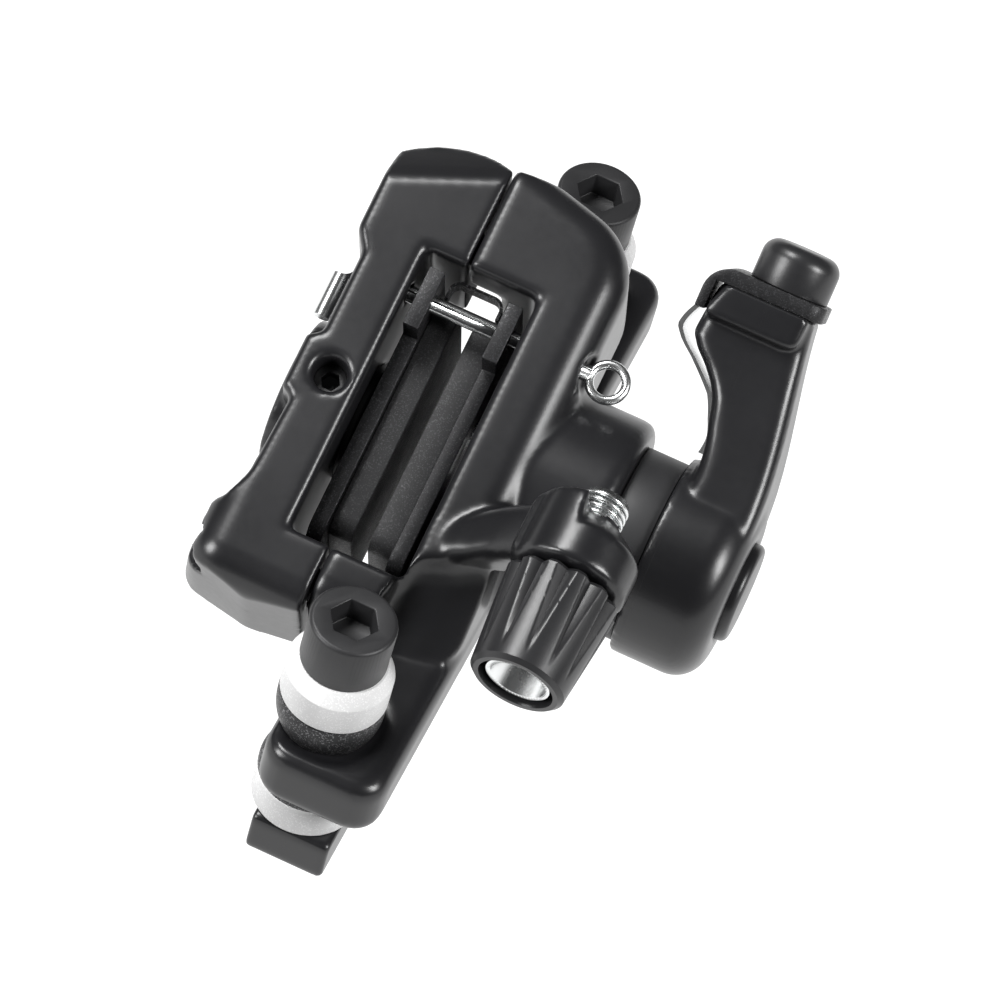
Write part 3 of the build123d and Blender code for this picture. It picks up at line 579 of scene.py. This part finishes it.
@dataclass
class OuterBody(Casting):
    """The half with the fixed pad's adjuster: its near block is flared and well rounded."""

    node: str = "outer_body"
    grid: float = 0.36
    top: float = 14.5
    near: float = 27.2
    side: float = 17.0
    crown: float = 4.2
    block_start: float = -14.0
    far_crease: float = 28.0
    far_slant: float = 0.43
    far_run: tuple = (0.0, 1.0, 2.5, 4.0, 6.0)
    far_drop: tuple = (0.0, 0.3, 1.3, 2.5, 4.2)
    flare: tuple = (
        (-11.0, -8.0), (-13.3, -8.0), (-13.4, -11.0), (-13.8, -13.4), (-14.5, -15.6),
        (-15.3, -17.6), (-16.0, -19.6), (-16.5, -21.6), (-11.0, -21.6),
    )
    flare_low: float = -2.8
    flare_play: float = 0.2
    block_run: float = 4.0

    def extend(self, item: bpy.types.Object) -> None:
        """Fills the hollow between the waist and the near block."""
        join_form(item, prism(self.flare, self.flare_low, self.top - self.flare_play, "b"))

    def shape(self, places: np.ndarray) -> np.ndarray:
        """Rounds the near block's top towards its near end and its side, and slopes the far end."""
        x, t, b = places.T.copy()
        towards_near = np.maximum(self.crown - (t + self.near), 0)
        towards_side = np.maximum(self.crown - (x + self.side), 0)
        over = np.minimum(np.hypot(towards_near, towards_side), self.crown)
        fall = self.crown - np.sqrt(self.crown ** 2 - over ** 2)
        share = np.clip((self.block_start - t) / self.block_run, 0, 1)
        beyond = t - self.far_crease - self.far_slant * (x + self.crown)
        cap = self.top - fall * share - np.interp(beyond, self.far_run, self.far_drop)
        return np.stack((x, t, np.minimum(b, cap)), axis=1)


@dataclass
class LeverArm(Casting):
    """The lever: its arm's inner side is drawn out under the clamp."""

    node: str = "lever_arm"
    grid: float = 0.32
    lean: float = 20.0
    places_r: tuple = (12.0, 17.0, 19.5, 21.0, 22.7, 24.0, 25.5, 28.0, 32.0)
    shifts: tuple = (0.0, -0.3, 0.0, -0.4, -1.2, -2.1, -2.6, -1.5, 0.0)
    guide_r: tuple = (15.0, 21.0)
    guide_shifts: tuple = (1.4, 0.0)
    far_x: float = 37.0
    reach: float = 9.0

    def radius(self, t: np.ndarray, b: np.ndarray) -> np.ndarray:
        """Distance from the cam's axis along the arm."""
        a = math.radians(self.lean)
        return t * math.cos(a) + b * math.sin(a)

    def shape(self, places: np.ndarray) -> np.ndarray:
        """Moves the arm's inner side by an amount that depends on the radius."""
        x, t, b = places.T
        share = np.clip((self.far_x - x) / self.reach, 0, 1)
        shift = np.interp(self.radius(t, b), self.places_r, self.shifts)
        return np.stack((x + shift * share, t, b), axis=1)

    def guide(self, places: np.ndarray) -> np.ndarray:
        """Moves the cable guide with the arm's edge, and draws its low end in."""
        x, t, b = self.shape(places).T
        drawn = np.interp(self.radius(t, b), self.guide_r, self.guide_shifts)
        return np.stack((x + drawn, t, b), axis=1)


@dataclass
class Machined:
    """Turned, pressed or moulded pieces that keep crisp, slightly broken edges."""

    nodes: Sequence[str]
    finish: Finish
    edge: float = 0.12
    hard: float = 35.0
    flat: float = 1.0
    rule: Callable[[np.ndarray], np.ndarray] | None = None

    def build(self) -> None:
        """Makes each piece from its solid, with its edges broken."""
        material = self.finish.build()
        for node in self.nodes:
            item = solid_copy(node, f"{node}_piece")
            form = bmesh.new()
            form.from_mesh(item.data)
            limit = math.radians(self.flat)
            bmesh.ops.dissolve_limit(form, angle_limit=limit, verts=form.verts, edges=form.edges)
            form.to_mesh(item.data)
            form.free()
            if self.edge:
                bevel = item.modifiers.new("edge", "BEVEL")
                bevel.width = self.edge * MM
                bevel.segments = 2
                bevel.limit_method = "ANGLE"
                bevel.angle_limit = math.radians(self.hard)
                settle(item)
            if self.rule:
                move(item, self.rule)
            smooth(item.data, self.hard)
            dress(item, node, material)


@dataclass
class Hidden:
    """Inner working pieces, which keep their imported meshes."""

    nodes: Sequence[str]
    finish: Finish

    def build(self) -> None:
        """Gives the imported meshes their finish."""
        material = self.finish.build()
        for node in self.nodes:
            piece = frame["nodes"][node]
            piece.data.materials.clear()
            piece.data.materials.append(material)
            LOG.info("%s kept, finish %s", node, material.name)


@dataclass
class BarrelThread:
    """The screw thread at the barrel adjuster's free end."""

    node: str = "adjuster_barrel"
    start: float = 8.6
    end: float = 11.7
    pitch: float = 0.8
    crest: float = 2.93
    wire: float = 0.26
    core: float = 2.5
    turn_steps: int = 40
    wire_corners: int = 8
    barrel_hard: float = 35.0
    ridge_hard: float = 50.0

    def axis_matrix(self) -> Matrix:
        """Matrix that carries Z onto the cable line, with its origin at the stop's entry."""
        a = math.radians(CABLE_TILT)
        run = CALIPER.direction(0, math.cos(a), -math.sin(a))
        side = Vector((1, 0, 0))
        turned = Matrix((side, run.cross(side), run)).transposed().to_4x4()
        turned.translation = CALIPER.place(*STOP)
        return turned

    def tree(self, material: bpy.types.Material) -> bpy.types.GeometryNodeTree:
        """Node tree of one ridge wound along a helix, with its sizes as inputs.

        Args:
            material: finish of the ridge.

        Returns:
            The tree.
        """
        tree = bpy.data.node_groups.new("thread_ridge", "GeometryNodeTree")
        face = tree.interface
        face.new_socket("Geometry", in_out="INPUT", socket_type="NodeSocketGeometry")
        for name in ("Turns", "Radius", "Height", "Wire"):
            face.new_socket(name, in_out="INPUT", socket_type="NodeSocketFloat")
        face.new_socket("Geometry", in_out="OUTPUT", socket_type="NodeSocketGeometry")
        made = {
            key: tree.nodes.new(kind)
            for key, kind in (
                ("in", "NodeGroupInput"),
                ("spiral", "GeometryNodeCurveSpiral"),
                ("ring", "GeometryNodeCurvePrimitiveCircle"),
                ("sweep", "GeometryNodeCurveToMesh"),
                ("real", "GeometryNodeRealizeInstances"),
                ("coat", "GeometryNodeSetMaterial"),
                ("out", "NodeGroupOutput"),
            )
        }
        made["spiral"].inputs["Resolution"].default_value = self.turn_steps
        made["ring"].inputs["Resolution"].default_value = self.wire_corners
        made["sweep"].inputs["Fill Caps"].default_value = True
        made["coat"].inputs["Material"].default_value = material
        for source, output, target, socket in (
            ("in", "Turns", "spiral", "Rotations"),
            ("in", "Radius", "spiral", "Start Radius"),
            ("in", "Radius", "spiral", "End Radius"),
            ("in", "Height", "spiral", "Height"),
            ("in", "Wire", "ring", "Radius"),
            ("spiral", "Curve", "sweep", "Curve"),
            ("ring", "Curve", "sweep", "Profile Curve"),
            ("sweep", "Mesh", "real", "Geometry"),
            ("real", "Geometry", "coat", "Geometry"),
            ("coat", "Geometry", "out", "Geometry"),
        ):
            tree.links.new(made[source].outputs[output], made[target].inputs[socket])
        return tree

    def build(self) -> None:
        """Makes the barrel with a waisted end, and the ridge wound on it."""
        material = BRIGHT.build()
        matrix = self.axis_matrix()
        inverse = matrix.inverted()
        barrel = solid_copy(self.node, "barrel_piece")
        for vertex in barrel.data.vertices:
            local = inverse @ vertex.co
            if local.z > self.start * MM and local.xy.length > self.core * MM:
                local.xy = local.xy.normalized() * self.core * MM
                vertex.co = matrix @ local
        smooth(barrel.data, self.barrel_hard)
        dress(barrel, self.node, material)
        ridge = bpy.data.objects.new("barrel_thread", bpy.data.meshes.new("barrel_thread"))
        bpy.context.scene.collection.objects.link(ridge)
        modifier = ridge.modifiers.new("ridge", "NODES")
        modifier.node_group = self.tree(material)
        sizes = {
            "Turns": (self.end - self.start) / self.pitch,
            "Radius": (self.crest - self.wire) * MM,
            "Height": (self.end - self.start) * MM,
            "Wire": self.wire * MM,
        }
        for socket in modifier.node_group.interface.items_tree:
            if socket.item_type == "SOCKET" and socket.name in sizes:
                modifier[socket.identifier] = sizes[socket.name]
        settle(ridge)
        ridge.data.transform(matrix @ Matrix.Translation((0, 0, self.start * MM)))
        smooth(ridge.data, self.ridge_hard)
        ridge.data.materials.clear()
        ridge.data.materials.append(material)
        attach(ridge, body_for(self.node))
        LOG.info("barrel thread wound, %d faces", len(ridge.data.polygons))


@dataclass
class Knob:
    """The barrel adjuster's plastic knob, with long flutes that run out towards its mouth."""

    node: str = "adjuster_knob"
    start: float = 0.4
    length: float = 13.0
    wide: float = 6.8
    narrow: float = 5.6
    bore: float = 3.9
    recess: float = 4.5
    recess_depth: float = 2.4
    edge: float = 0.5
    flutes: int = 12
    flute_depth: float = 0.95
    flute_half: float = 0.36
    flute_share: float = 0.88
    flute_tip: float = 0.25
    turns: int = 240
    steps: int = 40
    hard: float = 32.0

    def radius(self, s: float, angle: float) -> float:
        """Outer radius at a distance from the wide end and an angle."""
        plain = self.wide + (self.narrow - self.wide) * s / self.length
        left = max(0.0, 1 - s / (self.length * self.flute_share))
        off = abs((angle * self.flutes / (2 * math.pi) + 0.5) % 1 - 0.5)
        half = self.flute_half * (self.flute_tip + (1 - self.flute_tip) * left)
        return plain - self.flute_depth * left * max(0.0, 1 - off / half)

    def build(self) -> None:
        """Makes the knob as a closed ring of stations round the cable line."""
        stations = [(0.0, None, self.bore), (0.0, 0.0, -self.edge)]
        run = self.length - 2 * self.edge
        stations += [(self.edge + run * n / self.steps, 0.0, 0.0) for n in range(self.steps + 1)]
        stations += [(self.length, 0.0, -self.edge), (self.length, None, self.recess)]
        depth = self.length - self.recess_depth
        stations += [(depth, None, self.recess), (depth, None, self.bore)]
        matrix = BarrelThread().axis_matrix()
        form = bmesh.new()
        rings = []
        for s, outer, size in stations:
            ring = []
            for n in range(self.turns):
                angle = 2 * math.pi * n / self.turns
                radius = size if outer is None else self.radius(s, angle) + size
                local = Vector((radius * math.cos(angle), radius * math.sin(angle), -self.start - s)) * MM
                ring.append(form.verts.new(matrix @ local))
            rings.append(ring)
        for first, second in zip(rings, rings[1:] + rings[:1]):
            for n in range(self.turns):
                after = (n + 1) % self.turns
                form.faces.new((first[n], first[after], second[after], second[n]))
        bmesh.ops.recalc_face_normals(form, faces=form.faces)
        mesh = bpy.data.meshes.new("knob")
        form.to_mesh(mesh)
        form.free()
        item = bpy.data.objects.new("adjuster_knob_piece", mesh)
        bpy.context.scene.collection.objects.link(item)
        smooth(mesh, self.hard)
        dress(item, self.node, PLASTIC.build())


@dataclass
class Caliper:
    """The whole caliper on its adapter, in the order of its making."""

    seam_side: float = 31.2
    seam_half: float = 0.12
    bolt_reach: float = 6.0

    def shorten(self, places: np.ndarray) -> np.ndarray:
        """Ends the near body bolt inside the sloped end that covers it."""
        x, t, b = places.T
        return np.stack((np.minimum(x, self.bolt_reach), t, b), axis=1)

    def build(self) -> None:
        """Dresses every piece."""
        mould_line = ((Vector((1, 0, 0)), CALIPER.place(self.seam_side, 0, 0), self.seam_half),)
        lever = LeverArm(seams=mould_line)
        castings = (InnerBody(), OuterBody(), lever, Casting("mount_adapter", rounds=3))
        for casting in castings:
            casting.build()
        both = ("near", "far")
        rings = [f"{side}_{level}" for side in both for level in ("lower", "upper")]
        pieces = (
            Machined([f"{side}_mounting_bolt" for side in both], OXIDE, 0.15),
            Machined([f"{place}_washer" for place in rings], ZINC, 0.1),
            Machined([f"{place}_bowl_washer" for place in rings], DARK_ZINC, 0.1),
            Machined(["fixed_pad_plate", "moving_pad_plate", "pinch_plate"], PRESSED, 0.15),
            Machined(["fixed_pad_lining", "moving_pad_lining"], LINING, 0.2),
            Machined(["split_pin"], BRIGHT, 0.0),
            Machined(["cable_guide"], BRIGHT, 0.0, rule=lever.guide),
            Machined(["pad_spring"], DARK_ZINC, 0.0),
            Machined(["bolt_cap", "axle_cap"], PLASTIC, 0.12),
            Machined(["dust_boot"], RUBBER, 0.12),
            Machined(["pad_adjuster", "locking_screw", "far_body_bolt", "cable_bolt"], OXIDE, 0.1),
            Machined(["near_body_bolt"], OXIDE, 0.1, rule=self.shorten),
        )
        for piece in pieces:
            piece.build()
        Knob().build()
        BarrelThread().build()
        inner = ["thrust_foot", "ramp_balls", "cam_shaft", "thrust_washer", "return_spring", "axle_screw"]
        Hidden(inner, BRIGHT).build()


@dataclass
class SoftBox:
    """One studio lamp with a large diffuser."""

    name: str
    place: tuple
    power: float
    width: float
    depth: float
    target: tuple = (0.0, 0.0, 0.02)

    def build(self) -> None:
        """Hangs the lamp and aims it."""
        data = bpy.data.lights.new(self.name, "AREA")
        data.shape = "RECTANGLE"
        data.size, data.size_y, data.energy = self.width, self.depth, self.power
        lamp = bpy.data.objects.new(self.name, data)
        lamp.location = self.place
        aim = Vector(self.target) - Vector(self.place)
        lamp.rotation_euler = aim.to_track_quat("-Z", "Y").to_euler()
        bpy.context.scene.collection.objects.link(lamp)


@dataclass
class Studio:
    """Pale floor, soft lamps and the camera."""

    lens: float = 234.43
    sensor: float = 36.0
    camera_place: tuple = (0.0791, -0.4849, 0.5903)
    right: tuple = (0.9066, 0.3748, 0.1937)
    down: tuple = (0.4085, -0.665, -0.6252)
    ahead: tuple = (-0.1055, 0.646, -0.756)
    floor_level: float = -0.05
    floor_half: float = 4.0
    floor_grey: float = 0.15
    floor_roughness: float = 0.9
    floor_glow: float = 1.0
    room_light: float = 0.06
    clip: tuple = (0.05, 20)
    lamps: tuple = field(
        default=(
            SoftBox("over_lamp", (-0.42, 0.1, 0.85), 8.0, 0.4, 0.3),
            SoftBox("left_lamp", (-0.7, -0.55, 0.5), 9.0, 0.35, 0.45),
            SoftBox("right_lamp", (0.75, -0.15, 0.6), 9.0, 0.3, 0.4),
        )
    )

    def floor(self) -> None:
        """Lays the plain pale floor."""
        half = self.floor_half
        mesh = bpy.data.meshes.new("floor")
        corners = [(x * half, y * half, self.floor_level) for x, y in ((-1, -1), (1, -1), (1, 1), (-1, 1))]
        mesh.from_pydata(corners, [], [(0, 1, 2, 3)])
        item = bpy.data.objects.new("floor", mesh)
        bpy.context.scene.collection.objects.link(item)
        shader = Shader("pale_floor")
        shader.principled.inputs["Base Color"].default_value = (*[self.floor_grey] * 3, 1)
        shader.principled.inputs["Roughness"].default_value = self.floor_roughness
        shader.principled.inputs["Emission Color"].default_value = (1, 1, 1, 1)
        shader.principled.inputs["Emission Strength"].default_value = self.floor_glow
        mesh.materials.append(shader.material)
        item.visible_diffuse = False

    def world(self) -> None:
        """Gives the room its even light."""
        room = bpy.data.worlds.new("room")
        room.use_nodes = True
        back = room.node_tree.nodes["Background"]
        back.inputs["Color"].default_value = (1, 1, 1, 1)
        back.inputs["Strength"].default_value = self.room_light
        bpy.context.scene.world = room

    def camera(self) -> None:
        """Sets the camera up at the photograph's angle."""
        data = bpy.data.cameras.new("camera")
        data.lens, data.sensor_width = self.lens, self.sensor
        data.clip_start, data.clip_end = self.clip
        item = bpy.data.objects.new("camera", data)
        axes = (Vector(self.right), -Vector(self.down), -Vector(self.ahead))
        turn = Matrix([v.normalized() for v in axes]).transposed()
        item.matrix_world = Matrix.Translation(self.camera_place) @ turn.to_4x4()
        bpy.context.scene.collection.objects.link(item)
        bpy.context.scene.camera = item

    def build(self) -> None:
        """Sets the whole studio up."""
        self.floor()
        self.world()
        for lamp in self.lamps:
            lamp.build()
        self.camera()
        bpy.context.scene.view_settings.view_transform = "Standard"


def main() -> None:
    """Builds the dressed caliper and its studio."""
    logging.basicConfig(level=logging.INFO)
    Caliper().build()
    Studio().build()


if __name__ == "__main__":
    main()
